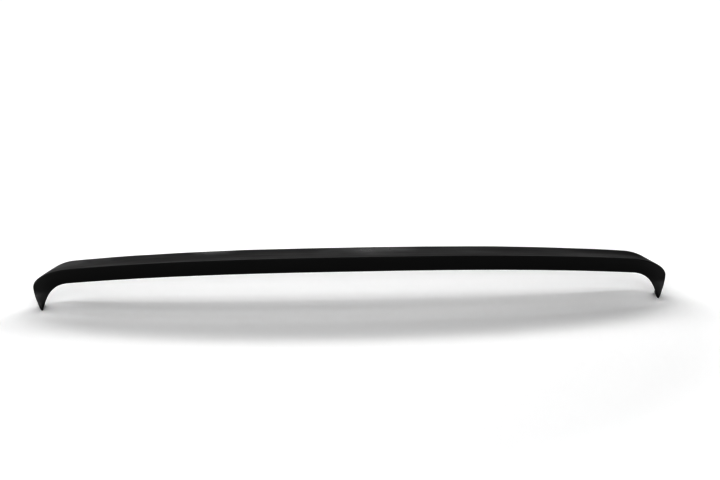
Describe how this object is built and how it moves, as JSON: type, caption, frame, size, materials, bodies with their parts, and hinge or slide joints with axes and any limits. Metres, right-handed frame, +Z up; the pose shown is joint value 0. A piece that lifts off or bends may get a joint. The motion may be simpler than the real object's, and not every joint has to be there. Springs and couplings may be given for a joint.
{
  "type": "car boot lid spoiler",
  "caption": "Slim black lip spoiler for a car's boot lid: a bowed wedge-section bar with a kicked-up rear edge, whose ends turn down into pointed fins.",
  "frame": {"origin": "on the floor, under the middle of the outline seen from above, with the part standing on the feet of its two fins", "axes": "+X across the car, to the right seen from behind; +Y toward the front of the car, so the tall rear face looks toward -Y; +Z up"},
  "size_m": [1.2732, 0.1036, 0.1087],
  "materials": {
    "black_plastic": "satin, moulded-in black with a faint grain"
  },
  "bodies": {
    "root": {"spoiler": "black_plastic"}
  },
  "joints": []
}
